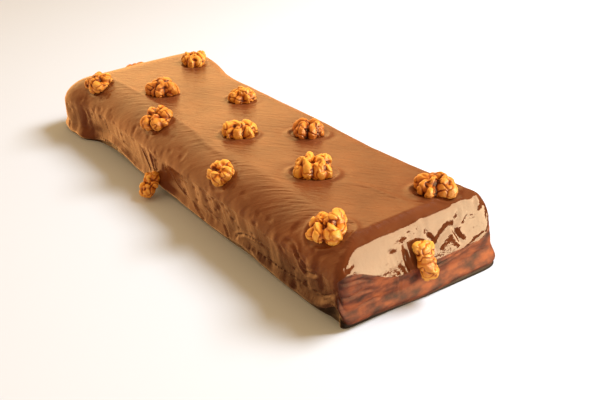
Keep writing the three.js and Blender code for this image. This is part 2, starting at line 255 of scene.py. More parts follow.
# Columns of the wall from the base up to just under the shoulder's edge, bottom row first
def wallRows(u, v):
    edge, p = topPoints(u, v)
    stands = flare(p)
    curve = mix(loaf["flareCurve"], loaf["nearFlareCurve"], np.where(p["toNear"], p["nx"] ** 2, 0))
    lip = lipHeight(p)
    undercut = np.minimum(1, lip / loaf["lipFullUndercut"]) * mix(1, loaf["endUndercut"], p["nx"] ** 2)
    heights = [share * lip + rise for share, rise, _ in footSection]
    outs = []
    for _, _, out in footSection:
        share = undercut if out < loaf["undercutBeyond"] else 1
        outs.append(out * share + np.zeros_like(lip))
    rows = []
    last = len(footSection) - 1
    for k in range(loaf["footRows"]):  # rounded run through the section's points
        t = k / (loaf["footRows"] - 1) * last
        i = min(int(t), last - 1)
        f = t - i
        ends = [max(i - 1, 0), i, i + 1, min(i + 2, last)]
        rows.append([catmull([values[e] for e in ends], f) for values in (heights, outs)])
    footTop = heights[last]
    for k in range(1, loaf["wallRows"]):
        t = k / loaf["wallRows"]
        rows.append([mix(footTop, edge[:, 2], t), outs[last] * (1 - smooth(loaf["lipBlend"] * t))])
    made = []
    for z, out in rows:
        hang = np.zeros_like(z)
        for x, height, width, tall, depth in drips:
            hang = hang + depth * bump(p["x"], x, width) * bump(z, height, tall)
        dripOut = np.where(p["toRight"], 0, hang * (1 - p["nx"] ** 2))
        offset = stands * np.clip(1 - z / edge[:, 2], 0, 1) ** curve + out + dripOut
        made.append(np.stack([edge[:, 0] + p["nx"] * offset, edge[:, 1] + p["ny"] * offset, z], -1))
    return made, lip


def catmull(four, f):
    a, b, c, d = four
    curve = 2 * b + (c - a) * f + (2 * a - 5 * b + 4 * c - d) * f ** 2 + (3 * b - a - 3 * c + d) * f ** 3
    return 0.5 * curve


# Grid lines closing up towards the rounded edges
def gridLines(low, high, lowReach, highReach):
    n = loaf["edgeLines"]
    ease = 1 - np.cos(np.linspace(0, math.pi / 2, n + 1))
    first = low + lowReach * ease
    final = (high - highReach * ease)[::-1]
    count = round((final[0] - first[-1]) / loaf["step"])
    return np.concatenate([first, np.linspace(first[-1], final[0], count + 1)[1:-1], final])


def buildLoaf():
    us = gridLines(loaf["farEnd"], loaf["nearEnd"], loaf["farReach"], loaf["nearReach"])
    vs = gridLines(-loaf["halfWidth"], loaf["halfWidth"], loaf["leftReach"], loaf["rightReach"])
    grid = np.arange(len(us) * len(vs)).reshape(len(us), len(vs))
    u, v = np.meshgrid(us, vs, indexing="ij")
    top, _ = topPoints(u.ravel(), v.ravel())
    quads = [np.stack([grid[:-1, :-1], grid[1:, :-1], grid[1:, 1:], grid[:-1, 1:]], -1).reshape(-1, 4)]
    border = np.concatenate([grid[:-1, 0], grid[-1, :-1], grid[:0:-1, -1], grid[0, :0:-1]])
    rows, lip = wallRows(u.ravel()[border], v.ravel()[border])
    points = [top] + rows
    lips = [np.zeros(len(top))] + [lip] * len(rows)
    onTop = np.concatenate([np.ones(len(top)), np.zeros(len(rows) * len(border))])
    rings = [len(top) + k * len(border) + np.arange(len(border)) for k in range(len(rows))] + [border]
    for below, above in zip(rings, rings[1:]):
        quads.append(np.stack([below, np.roll(below, -1), np.roll(above, -1), above], -1))
    return np.concatenate(points), np.concatenate(quads), rings[0], np.concatenate(lips), onTop


def vertexNormals(points, quads):
    a, b, c, d = (points[quads[:, k]] for k in range(4))
    face = np.cross(c - a, d - b)
    normals = np.zeros_like(points)
    for k in range(4):
        np.add.at(normals, quads[:, k], face)
    return normals / np.maximum(np.linalg.norm(normals, axis=1, keepdims=True), 1e-9)


# Places of the walnuts
walnut = {
    "long": 14.6,  # half length, half width and height of a middling one
    "wide": 11.6,
    "tall": 12.5,
    "lift": 0.5,
    "seatStep": 2.0,  # the top's slope under a walnut is taken this far round it
    "lobesPerSide": 4,
}
# x, y, turn, scale along, across and up, seed, strength of the ring of glaze, share of golden flesh
topWalnuts = (
    (-157, -47, 12, (1.06, 1.0, 0.88), 1, 0.3, 0.45),
    (-93, -18, 35, (1.08, 1.0, 1.0), 2, 0.3, 0.1),
    (-146, 36, 20, (0.98, 1.0, 0.95), 3, 0.3, 0.8),
    (-43, -47, 28, (1.0, 1.05, 0.88), 4, 0.3, 0.3),
    (27, -14, 40, (0.96, 0.9, 0.9), 5, 1.0, 0.9),
    (-35, 27, 32, (0.96, 0.9, 0.92), 6, 0.4, 0.7),
    (60, 27, 50, (1.0, 0.9, 0.95), 7, 1.0, 0.0),
    (116, -10, 48, (1.08, 1.0, 1.05), 8, 1.0, 1.0),
    (67, -53, 70, (0.82, 1.0, 0.85), 9, 0.2, 0.9),
    (179, -46, 30, (1.06, 1.05, 0.9), 10, 0.8, 1.0),
    (186, 34, 55, (1.1, 1.0, 0.92), 11, 0.8, 0.3),
)
# place, direction that its domed side faces, turn, scale, seed, ring, share of golden flesh
sideWalnuts = (
    ((-21, -69.6, 9.2), (0.05, -0.78, 0.62), 100, (0.84, 0.68, 0.8), 12, 0, 0.9),
    ((210.8, 4.5, 27), (0.97, 0, 0.24), 94, (1.2, 0.14, 0.66), 13, 0, 1.0),
    ((-214, 12, 34), (-0.94, 0, 0.34), 82, (1.0, 0.72, 0.9), 14, 0.3, 0.0),
    ((38, 65.5, 20), (0, 0.99, 0.12), 78, (0.96, 0.9, 0.95), 15, 0.3, 0.5),
)


def placement(at, faces, turn):
    nearlyAlong = 0.3
    up = Vector(faces).normalized()
    along = Vector((1, 0, 0)) - up * up.x
    if along.length < nearlyAlong:
        along = Vector((0, 1, 0)) - up * up.y
    along.normalize()
    across = up.cross(along)
    turned = Matrix((along, across, up)).transposed().to_4x4()
    return Matrix.Translation(at) @ turned @ Matrix.Rotation(math.radians(turn), 4, "Z")


def seatOnTop(x, y):
    step = walnut["seatStep"]
    u = np.array([x, x + step, x - step, x, x], float)
    v = np.array([y, y, y, y + step, y - step], float)
    at, ahead, behind, right, left = (Vector(p) for p in topPoints(u, v)[0])
    faces = (ahead - behind).cross(right - left).normalized()
    return at + faces * walnut["lift"], faces


def walnutPlaces():
    seated = []
    for x, y, turn, *rest in topWalnuts:
        at, faces = seatOnTop(x, y)
        seated.append((placement(at, faces, turn), *rest))
    for at, faces, turn, *rest in sideWalnuts:
        seated.append((placement(at, faces, turn), *rest))
    names = ("matrix", "scale", "seed", "ring", "golden")
    return [dict(zip(names, values)) for values in seated]


# Relief of the glaze, in millimetres, and the regions of its material
relief = {
    "onTop": (0.75, 0.2),  # tilt at which each region of the surface starts, and its fade
    "onLeft": (0.35, 0.4),
    "onNear": (0.4, 0.3),
    "slowDepth": 0.3,
    "slowSize": 26.0,
    "slowSeed": 8,
    "slowShareOnTop": 0.4,
    "sideDepth": 0.5,
    "sideSize": (9.0, 9.0, 26.0),  # runs down the long sides
    "sideSeed": 14,
    "sideBelow": 50.0,  # the upper part of the sides stays smooth
    "sideFade": 18.0,
    "pitDepth": 0.5,
    "pitSize": (6.0, 9.0, 3.5),
    "pitSeed": 17,
    "pitFrom": (0.45, 0.25),
    "bevelDepth": 0.1,
    "bevelSize": (10.0, 16.0, 8.0),
    "bevelSeed": 21,
    "dashDepth": 0.55,
    "dashSize": (8.0, 5.0, 1.9),  # small dark dashes in the mirror of the steep end
    "dashSeed": 31,
    "dashFrom": (0.42, 0.2),
    "dashAbove": (30, 8),
    "crinkleDepth": 0.6,
    "crinkleSize": (4.5, 3.6, 3.2),
    "crinkleSeed": 26,
    "crinkleAcross": (24, 22),
    "crinkleAbove": (36, 10),
    "wrinkleDepth": 0.17,
    "wrinkleSize": (20.0, 12.0, 2.6),
    "wrinkleSeed": 35,
    "pooledDepth": 0.9,
    "pooledSize": (9, 9, 30),
    "pooledSeed": 40,
    "pooledHeight": 2.5,
    "rimHeight": 0.5,
    "rimPlace": 194.5,
    "rimWidth": 1.4,
    "rimEnd": 48,
    "rimFade": 8,
    "creaseFade": 12,
    "grooveSteps": 25,
    "grooveTaper": 6,
    "grooveTip": 0.15,
    "grooveWidth": 0.75,
    "grooveRim": 0.45,
    "grooveRimPlace": 1.7,
    "grooveRimWidth": 0.6,
    "ringHeight": 0.8,
    "ringPlace": 1.12,
    "ringWidth": 0.1,
    "ringDip": 0.6,
    "dipPlace": 0.9,
    "dipWidth": 0.12,
    "moatShare": 0.35,
    "moatPlace": 1.4,
    "moatWidth": 0.2,
    "ringReach": 12,
    "footFade": 3,
    "glossyFace": (0.3, 0.2),  # these and the next ones say where the material changes
    "lowerWall": (0.5, 0.3),
    "strokedTop": (0.8, 0.15),
    "strokedElsewhere": 0.35,
    # where the painted shade low on the left side lies
    "shadedBelow": 42,
    "shadedFade": 26,
    "shadedAlong": (20, 130),
    "shadedFar": 0.15,
    "lipFade": 1.5,
}
# Folds of the steep end: three points (y, z) that the fold runs by, half width, depth
endFolds = (
    (((-9, 38), (-3, 50), (10, 40)), 1.1, 0.8),
    (((9, 41), (16, 34), (18, 27)), 1.6, 1.0),
    (((17, 29), (21, 37), (33, 39)), 2.2, 1.2),
    (((32, 38), (41, 41), (39, 47)), 1.8, 1.1),
    (((32, 38), (36, 33), (40, 25)), 1.7, 1.1),
    (((39, 46), (47, 42), (55, 30)), 0.9, 0.8),
    (((-18, 37), (-17, 30), (-11, 21)), 0.7, 0.5),
    (((-8, 37), (-9, 28), (-3, 19)), 1.7, 1.5),
    (((-60, 33), (-50, 33), (-36, 31)), 1.2, 1.0),
    (((-60, 23), (-48, 21), (-33, 28)), 1.3, 1.1),
    (((-48, 13), (-40, 15), (-30, 13)), 1.0, 0.9),
    (((-15, 24), (-13, 16), (-15, 8)), 0.9, 0.8),
    (((12, 17), (32, 16), (62, 25)), 1.0, 0.9),
)
# Folds of the long left side: three points (x, z), half width, depth
sideFolds = (
    (((-150, 8), (-125, 8), (-100, 12)), 1.0, 1.0),
    (((-100, 12), (-85, 12), (-70, 6)), 1.0, 1.0),
    (((-52, 30), (-44, 22), (-42, 10)), 1.4, 1.1),
    (((-34, 32), (-28, 18), (-26, 8)), 2.0, 1.8),
    (((-5, 30), (8, 18), (24, 12)), 1.0, 0.8),
    (((28, 13), (36, 8), (46, 4)), 1.2, 1.1),
    (((49, 18), (57, 16), (69, 14)), 0.9, 0.8),
    (((72, 12), (78, 9), (80, 5)), 1.2, 1.0),
    (((88, 9), (97, 20), (127, 22)), 1.0, 1.1),
    (((98, 10), (140, 12), (180, 15)), 0.9, 1.0),
    (((180, 15), (195, 17), (207, 19)), 0.9, 1.0),
    (((151, 38), (167, 43), (169, 28)), 1.2, 1.0),
    (((169, 29), (173, 22), (187, 30)), 1.5, 1.2),
    (((164, 36), (171, 33), (178, 28)), 1.4, 1.0),
)
# Creases that the palette knife left on the top: where they run, height, half width
creases = (
    ((-159, -123, -90, -59, -33, -1, 25, 54), (-38, -36, -34, -33, -37, -38, -42, -42), 0.7, 1.7),
    ((136, 154, 175, 191), (-3, 6.5, 10, 13), 0.6, 1.5),
)


# A groove with raised rims along a curve by three points of a plane
def groove(a, b, run, width):
    nearest = np.full(len(a), np.inf)
    share = np.zeros(len(a))
    for t in np.linspace(0, 1, relief["grooveSteps"]):
        ca, cb = ((1 - t) ** 2 * p + 2 * t * (1 - t) * q + t * t * r for p, q, r in zip(*run))
        distance = np.hypot(a - ca, b - cb)
        share = np.where(distance < nearest, t, share)
        nearest = np.minimum(nearest, distance)
    section = nearest / width
    taper = smooth(np.minimum(share, 1 - share) * relief["grooveTaper"] + relief["grooveTip"])
    rims = relief["grooveRim"] * bump(section, relief["grooveRimPlace"], relief["grooveRimWidth"])
    return (rims - bump(section, 0, relief["grooveWidth"])) * taper


def patchy(points, kind, octaves=2):
    return cloud(points, relief[kind + "Size"], relief[kind + "Seed"], octaves)


# The ring of glaze round one walnut, with a dip inside it and a shallow one outside
def walnutRing(points, place):
    local = np.array(place["matrix"].inverted())
    q = points @ local[:3, :3].T + local[:3, 3]
    sx, sy, _ = place["scale"]
    e = np.hypot(q[:, 0] / (walnut["long"] * sx), q[:, 1] / (walnut["wide"] * sy))
    near = np.abs(q[:, 2]) < relief["ringReach"]
    moat = relief["moatShare"] * bump(e, relief["moatPlace"], relief["moatWidth"])
    ring = bump(e, relief["ringPlace"], relief["ringWidth"]) - moat
    dip = relief["ringDip"] * bump(e, relief["dipPlace"], relief["dipWidth"])
    return (relief["ringHeight"] * place["ring"] * ring - dip) * near


def glazeRelief(points, normals, places, rolled):
    x, y, z = points.T
    onTop = fade(normals[:, 2], *relief["onTop"])
    onLeft = fade(-normals[:, 1], *relief["onLeft"])
    onNear = fade(normals[:, 0], *relief["onNear"])
    onBevel = onNear * rolled
    onLowWall = onNear * (1 - rolled)
    onSide = (1 - onTop) * smooth((relief["sideBelow"] - z) / relief["sideFade"]) * (1 - onNear)
    pits = fade(patchy(points, "pit", octaves=1), *relief["pitFrom"])
    dashes = fade(patchy(points, "dash", octaves=1), *relief["dashFrom"])
    dashes = dashes * fade(z, *relief["dashAbove"])
    crinkled = fade(y, *relief["crinkleAcross"]) * fade(z, *relief["crinkleAbove"])
    pooled = bump(z, relief["pooledHeight"], relief["pooledHeight"])
    pooled = pooled * (0.5 + 0.5 * patchy(points, "pooled", octaves=1))
    rim = bump(x, relief["rimPlace"], relief["rimWidth"])
    rim = rim * smooth((relief["rimEnd"] - np.abs(y)) / relief["rimFade"])
    slowShare = mix(1, relief["slowShareOnTop"], onTop) * (1 - onBevel)
    out = relief["slowDepth"] * patchy(points, "slow") * slowShare
    out += relief["sideDepth"] * patchy(points, "side") * onSide
    out -= relief["pitDepth"] * pits * onLeft
    out += relief["bevelDepth"] * patchy(points, "bevel") * onBevel
    out -= relief["dashDepth"] * dashes * onBevel
    out += relief["crinkleDepth"] * patchy(points, "crinkle") * onBevel * crinkled
    out += relief["wrinkleDepth"] * patchy(points, "wrinkle") * onLowWall
    out += relief["pooledDepth"] * pooled * onLowWall
    out += relief["rimHeight"] * rim * onTop
    for run, width, depth in endFolds:
        out += depth * groove(y, z, run, width) * onNear
    for run, width, depth in sideFolds:
        out += depth * groove(x, z, run, width) * onLeft
    for along, across, height, width in creases:
        inside = smooth((x - along[0]) / relief["creaseFade"])
        inside = inside * smooth((along[-1] - x) / relief["creaseFade"])
        out += height * bump(y, np.interp(x, along, across), width) * inside * onTop
    for place in places:
        if place["ring"] > 0:
            out += walnutRing(points, place)
    return out * smooth(z / relief["footFade"])


def addFloat(mesh, name, values):
    layer = mesh.attributes.new(name, "FLOAT", "POINT")
    layer.data.foreach_set("value", values.astype(np.float32))


# Shares of each part of the glaze's material, read by the material as attributes
def markRegions(mesh, points, normals, lips, rolled):
    x, _, z = points.T
    glossyFace = fade(normals[:, 0], *relief["glossyFace"]) * rolled
    lowerWall = fade(normals[:, 0], *relief["lowerWall"]) * (1 - rolled)
    onLeft = fade(-normals[:, 1], *relief["onLeft"])
    low = smooth((relief["shadedBelow"] - z) / relief["shadedFade"])
    towardsNear = mix(relief["shadedFar"], 1, fade(x, *relief["shadedAlong"]))
    stroked = mix(relief["strokedElsewhere"], 1, fade(normals[:, 2], *relief["strokedTop"]))
    # share of the painted shade under the lip
    addFloat(mesh, "underLipShadeShare", smooth((lips - z) / relief["lipFade"]) * (lips > 0))
    addFloat(mesh, "mirrorBand", glossyFace)
    addFloat(mesh, "lowerWall", lowerWall)
    # share of the painted shade low on the left side
    addFloat(mesh, "shaded", onLeft * low * towardsNear)
    addFloat(mesh, "stroked", stroked * (1 - glossyFace) * (1 - lowerWall))


def makeCake(places, material):
    points, quads, base, lips, rolled = buildLoaf()
    normals = vertexNormals(points, quads)
    points = points + normals * glazeRelief(points, normals, places, rolled)[:, None]
    points[base, 2] = 0
    faces = quads.tolist() + [base[::-1].tolist()]
    centred = (points - np.array([*loaf["footprintCentre"], 0])) * mm
    mesh = bpy.data.meshes.new("glazedLoaf")
    mesh.from_pydata(centred.tolist(), [], faces)
    mesh.update()
    markRegions(mesh, points, normals, lips, rolled)
    mesh.polygons.foreach_set("use_smooth", np.ones(len(mesh.polygons), bool))
    mesh.materials.append(material)
    piece = bpy.data.objects.new("glazedLoaf", mesh)
    bpy.context.scene.collection.objects.link(piece)
    return piece


# The walnut halves: lobes on points, wrapped in one skin by a node tree
lobes = {
    "core": (0.8, 0.74, 0.5),
    "outer": {"along": 0.54, "aside": 0.18, "bulge": 0.4, "lift": 0.16, "size": (0.38, 0.27, 0.56)},
    "inner": {"apart": 0.5, "aside": 0.27, "lift": 0.46, "size": (0.33, 0.2, 0.44)},
    "spread": {
        "angle": 0.3,
        "size": 0.2,
        "slim": 0.18,
        "lift": 0.13,
        "turn": 0.8,
        "shift": 0.14,
        "innerTurn": 1.2,
    },
    "fineness": 5,
    "ballRadius": 0.05,  # rays from a ball this large to its middle find the lobes
    "furrowWidth": 0.11,
    "ridgeBlur": 24,
    "seedShift": 0.4,
}
skin = {
    "Fineness": 6,
    "Rounding": 3,
    "Underside": 0.5,
    "Fold Depth": 0.7 * mm,
    "Fold Size": 5.5 * mm,
    "Furrow Depth": 0.75 * mm,
    "Furrow Size": 7.5 * mm,
    "Grain Depth": 0.12 * mm,
    "Grain Size": 1.2 * mm,
    "Ridge Depth": 0.4 * mm,
}


# A repeatable uneven value from -1 to 1 for each lobe of each walnut
def unevenness(seed, lobe, which):
    h = math.sin(seed * 12.9898 + lobe * 78.233 + which * 37.719) * 43758.5453
    return 2 * (h - math.floor(h)) - 1


# Centre, radii and turn of every lobe of one walnut half, in millimetres
def walnutLobes(seed, scale):
    long, wide, tall = (walnut[k] * s for k, s in zip(("long", "wide", "tall"), scale))
    outer, inner, spread = lobes["outer"], lobes["inner"], lobes["spread"]
    made = [((0, 0, 0), tuple(c * r for c, r in zip(lobes["core"], (long, wide, tall))), 0)]
    number = 0
    for side in (-1, 1):
        for k in range(walnut["lobesPerSide"]):
            uneven = [unevenness(seed, number, which) for which in range(5)]
            angle = (k + 0.5) / walnut["lobesPerSide"] * math.pi + spread["angle"] * uneven[0]
            grow = 1 + spread["size"] * uneven[1]
            slim = 1 + spread["slim"] * uneven[2]
            centre = (
                outer["along"] * long * math.cos(angle),
                side * wide * (outer["aside"] + outer["bulge"] * math.sin(angle)),
                tall * (outer["lift"] + spread["lift"] * uneven[3]),
            )
            a, b, c = outer["size"]
            radii = (a * long * grow * slim, b * long * grow / slim, c * tall * grow)
            made.append((centre, radii, side * angle + spread["turn"] * uneven[4]))
            number += 1
        for k in (-0.5, 0.5):
            uneven = [unevenness(seed, number, which) for which in range(5)]
            centre = (
                long * (k * inner["apart"] + spread["shift"] * uneven[0]),
                side * wide * inner["aside"],
                tall * (inner["lift"] + spread["lift"] * uneven[3]),
            )
            grow = 1 + spread["size"] * uneven[1]
            a, b, c = inner["size"]
            radii = (a * long * grow, b * long * grow, c * tall)
            made.append((centre, radii, spread["innerTurn"] * uneven[4]))
            number += 1
    return made


# Lobes on points become one solid, and a ball shrunk onto it becomes the walnut's skin
def walnutTree(material):
    tree = bpy.data.node_groups.new("walnutHalf", "GeometryNodeTree")
    face = tree.interface
    face.new_socket("Lobes", in_out="INPUT", socket_type="NodeSocketGeometry")
    kinds = {"Fineness": "NodeSocketInt", "Rounding": "NodeSocketInt"}
    for name in list(skin) + ["Seed"]:
        face.new_socket(name, in_out="INPUT", socket_type=kinds.get(name, "NodeSocketFloat"))
    face.new_socket("Walnut", in_out="OUTPUT", socket_type="NodeSocketGeometry")
    nodes, links = tree.nodes, tree.links

    def add(kind, **settings):
        node = nodes.new(kind)
        for key, value in settings.items():
            setattr(node, key, value)
        return node

    def join(a, b):
        links.new(a, b)

    def named(name, kind):
        node = add("GeometryNodeInputNamedAttribute", data_type=kind)
        node.inputs["Name"].default_value = name
        return node.outputs["Attribute"]

    def maths(operation, a, b=None):
        node = add("ShaderNodeMath", operation=operation)
        for socket, value in zip(node.inputs, (a, b)):
            if value is None:
                continue
            if isinstance(value, (int, float)):
                socket.default_value = value
            else:
                join(value, socket)
        return node.outputs[0]

    given = add("NodeGroupInput").outputs
    lobe = add("GeometryNodeMeshIcoSphere")
    lobe.inputs["Subdivisions"].default_value = lobes["fineness"]
    turn = add("ShaderNodeCombineXYZ")
    join(named("lobeTurn", "FLOAT"), turn.inputs["Z"])
    toRotation = add("FunctionNodeEulerToRotation")
    join(turn.outputs[0], toRotation.inputs[0])
    place = add("GeometryNodeInstanceOnPoints")
    join(given["Lobes"], place.inputs["Points"])
    join(lobe.outputs["Mesh"], place.inputs["Instance"])
    join(toRotation.outputs[0], place.inputs["Rotation"])
    join(named("lobeSize", "FLOAT_VECTOR"), place.inputs["Scale"])
    solid = add("GeometryNodeRealizeInstances")
    join(place.outputs["Instances"], solid.inputs["Geometry"])

    ball = add("GeometryNodeMeshIcoSphere")
    join(given["Fineness"], ball.inputs["Subdivisions"])
    position = add("GeometryNodeInputPosition").outputs[0]
    start = add("ShaderNodeVectorMath", operation="SCALE")
    start.inputs["Scale"].default_value = lobes["ballRadius"]
    join(position, start.inputs[0])
    inward = add("ShaderNodeVectorMath", operation="SCALE")
    inward.inputs["Scale"].default_value = -1
    join(position, inward.inputs[0])
    ray = add("GeometryNodeRaycast")
    join(solid.outputs[0], ray.inputs["Target Geometry"])
    join(start.outputs[0], ray.inputs["Source Position"])
    join(inward.outputs[0], ray.inputs["Ray Direction"])
    ray.inputs["Ray Length"].default_value = lobes["ballRadius"]
    wrap = add("GeometryNodeSetPosition")
    join(ball.outputs["Mesh"], wrap.inputs["Geometry"])
    join(ray.outputs["Hit Position"], wrap.inputs["Position"])

    soft = add("GeometryNodeBlurAttribute", data_type="FLOAT_VECTOR")
    join(position, soft.inputs["Value"])
    join(given["Rounding"], soft.inputs["Iterations"])
    parts = add("ShaderNodeSeparateXYZ")
    join(soft.outputs[0], parts.inputs[0])
    below = maths("MINIMUM", parts.outputs["Z"], 0.0)
    above = maths("MAXIMUM", parts.outputs["Z"], 0.0)
    flat = maths("ADD", maths("MULTIPLY", below, given["Underside"]), above)
    shaped = add("ShaderNodeCombineXYZ")
    join(parts.outputs["X"], shaped.inputs["X"])
    join(parts.outputs["Y"], shaped.inputs["Y"])
    join(flat, shaped.inputs["Z"])
    settle = add("GeometryNodeSetPosition")
    join(wrap.outputs[0], settle.inputs["Geometry"])
    join(shaped.outputs[0], settle.inputs["Position"])

    def noiseOf(size):
        node = add("ShaderNodeTexNoise", noise_dimensions="4D")
        join(position, node.inputs["Vector"])
        join(given["Seed"], node.inputs["W"])
        join(maths("DIVIDE", 1.0, given[size]), node.inputs["Scale"])
        node.inputs["Detail"].default_value = 1.0
        return maths("MULTIPLY", maths("SUBTRACT", node.outputs[0], 0.5), 2.0)

    folds = maths("MULTIPLY", noiseOf("Fold Size"), given["Fold Depth"])
    grain = maths("MULTIPLY", noiseOf("Grain Size"), given["Grain Depth"])
    cut = add("ShaderNodeMapRange", interpolation_type="SMOOTHSTEP")
    cut.inputs["From Max"].default_value = lobes["furrowWidth"]
    cut.inputs["To Min"].default_value = -1.0
    cut.inputs["To Max"].default_value = 0.0
    join(maths("ABSOLUTE", noiseOf("Furrow Size")), cut.inputs["Value"])
    furrows = maths("MULTIPLY", cut.outputs[0], given["Furrow Depth"])
    rough = maths("ADD", maths("ADD", folds, grain), furrows)
    push = add("ShaderNodeVectorMath", operation="SCALE")
    join(add("GeometryNodeInputNormal").outputs[0], push.inputs[0])
    join(rough, push.inputs["Scale"])
    fold = add("GeometryNodeSetPosition")
    join(settle.outputs[0], fold.inputs["Geometry"])
    join(push.outputs[0], fold.inputs["Offset"])

    wide = add("GeometryNodeBlurAttribute", data_type="FLOAT_VECTOR")
    join(position, wide.inputs["Value"])
    wide.inputs["Iterations"].default_value = lobes["ridgeBlur"]
    apart = add("ShaderNodeVectorMath", operation="SUBTRACT")
    join(position, apart.inputs[0])
    join(wide.outputs[0], apart.inputs[1])
    stands = add("ShaderNodeVectorMath", operation="DOT_PRODUCT")
    join(apart.outputs[0], stands.inputs[0])
    join(add("GeometryNodeInputNormal").outputs[0], stands.inputs[1])
    store = add("GeometryNodeStoreNamedAttribute", data_type="FLOAT", domain="POINT")
    store.inputs["Name"].default_value = "ridge"
    join(fold.outputs[0], store.inputs["Geometry"])
    join(maths("DIVIDE", stands.outputs["Value"], given["Ridge Depth"]), store.inputs["Value"])

    shaded = add("GeometryNodeSetShadeSmooth")
    join(store.outputs[0], shaded.inputs["Geometry"])
    real = add("GeometryNodeRealizeInstances")
    join(shaded.outputs[0], real.inputs["Geometry"])
    coat = add("GeometryNodeSetMaterial")
    coat.inputs["Material"].default_value = material
    join(real.outputs[0], coat.inputs["Geometry"])
    join(coat.outputs[0], add("NodeGroupOutput").inputs["Walnut"])
    return tree


def makeWalnut(number, place, tree):
    name = f"walnutHalf_{number:02d}"
    made = walnutLobes(place["seed"], place["scale"])
    points = bpy.data.meshes.new(name + "_lobes")
    points.from_pydata([[c * mm for c in centre] for centre, _, _ in made], [], [])
    size = points.attributes.new("lobeSize", "FLOAT_VECTOR", "POINT")
    size.data.foreach_set("vector", [r * mm for _, radii, _ in made for r in radii])
    turn = points.attributes.new("lobeTurn", "FLOAT", "POINT")
    turn.data.foreach_set("value", [t for _, _, t in made])
    seedObject = bpy.data.objects.new(name + "_lobes", points)
    bpy.context.scene.collection.objects.link(seedObject)
    modifier = seedObject.modifiers.new("walnutHalf", "NODES")
    modifier.node_group = tree
    given = [item for item in tree.interface.items_tree if item.in_out == "INPUT"]
    sockets = {item.name: item.identifier for item in given}
    for key, value in skin.items():
        modifier[sockets[key]] = value
    modifier[sockets["Seed"]] = place["seed"] + lobes["seedShift"]
    evaluated = seedObject.evaluated_get(bpy.context.evaluated_depsgraph_get())
    mesh = bpy.data.meshes.new_from_object(evaluated)
    mesh.name = name
    at = place["matrix"].copy()
    at.translation = (at.translation - Vector((*loaf["footprintCentre"], 0))) * mm
    mesh.transform(at)
    addFloat(mesh, "golden", np.full(len(mesh.vertices), place["golden"]))
    bpy.data.objects.remove(seedObject)
    piece = bpy.data.objects.new(name, mesh)
    bpy.context.scene.collection.objects.link(piece)
    return piece


# Materials
def shader(name):
    material = bpy.data.materials.new(name)
    material.use_nodes = True
    nodes, links = material.node_tree.nodes, material.node_tree.links
    return material, nodes, links, nodes["Principled BSDF"]


def ramp(nodes, stops):
    node = nodes.new("ShaderNodeValToRGB")
    elements = node.color_ramp.elements
    for k, (place, colour) in enumerate(stops):
        element = elements[k] if k < 2 else elements.new(place)
        element.position = place
        element.color = (*colour, 1)
    return node


glazeLook = {
    "plain": ((0.145, 0.038, 0.012), (0.17, 0.046, 0.014), (0.2, 0.056, 0.017)),  # deep, middling, light
    # the lower wall of the steep end is lighter and redder: partly thinner glaze, partly painted light
    # where that end is lit
    "wall": ((0.07, 0.01, 0.003), (0.22, 0.038, 0.007), (0.42, 0.09, 0.014)),
    "toneStops": (0.34, 0.5, 0.66),
    "patchSize": 26 * mm,
    "wallPatch": (9 * mm, 11 * mm, 5 * mm),
    # painted shade low on the left side towards the steep end
    "shaded": (0.06, 0.012, 0.004),  # low on the left side towards the steep end
    # painted shade: near black under the glaze's lip
    "foot": (0.012, 0.006, 0.004),
    "ior": 1.46,
    "satin": 0.27,
    "mirror": 0.06,
    "wallRoughness": 0.68,
    "streakSize": (22 * mm, 2.6 * mm, 30 * mm),
    "strokeAngle": 32.0,  # the palette knife went slantwise over the top
    "streakDepth": 0.7 * mm,
    "ruffleSize": 3.2 * mm,
    "ruffleDepth": 0.12 * mm,
}


def blend(nodes, links, share, a, b):
    node = nodes.new("ShaderNodeMix")
    node.data_type = "RGBA"
    links.new(share, node.inputs["Factor"])
    for name, value in (("A", a), ("B", b)):
        if isinstance(value, tuple):
            node.inputs[name].default_value = (*value, 1)
        else:
            links.new(value, node.inputs[name])
    return node.outputs["Result"]


def mapped(nodes, links, value, low, high, start, end, easing="SMOOTHSTEP"):
    node = nodes.new("ShaderNodeMapRange")
    node.interpolation_type = easing
    links.new(value, node.inputs["Value"])
    for name, number in zip(("From Min", "From Max", "To Min", "To Max"), (low, high, start, end)):
        node.inputs[name].default_value = number
    return node.outputs[0]


def combined(nodes, links, operation, a, b):
    node = nodes.new("ShaderNodeMath")
    node.operation = operation
    links.new(a, node.inputs[0])
    links.new(b, node.inputs[1])
    return node


def attribute(nodes, name):
    node = nodes.new("ShaderNodeAttribute")
    node.attribute_name = name
    return node.outputs["Fac"]


def noise(nodes, links, where, scale, detail):
    node = nodes.new("ShaderNodeTexNoise")
    node.inputs["Scale"].default_value = scale
    node.inputs["Detail"].default_value = detail
    links.new(where, node.inputs["Vector"])
    return node.outputs[0]


# Coordinates in which a pattern has the given size along each axis
def stretched(nodes, links, where, size, turn=0):
    node = nodes.new("ShaderNodeMapping")
    node.vector_type = "TEXTURE"
    node.inputs["Rotation"].default_value = (0, 0, math.radians(turn))
    node.inputs["Scale"].default_value = size
    links.new(where, node.inputs["Vector"])
    return node.outputs[0]


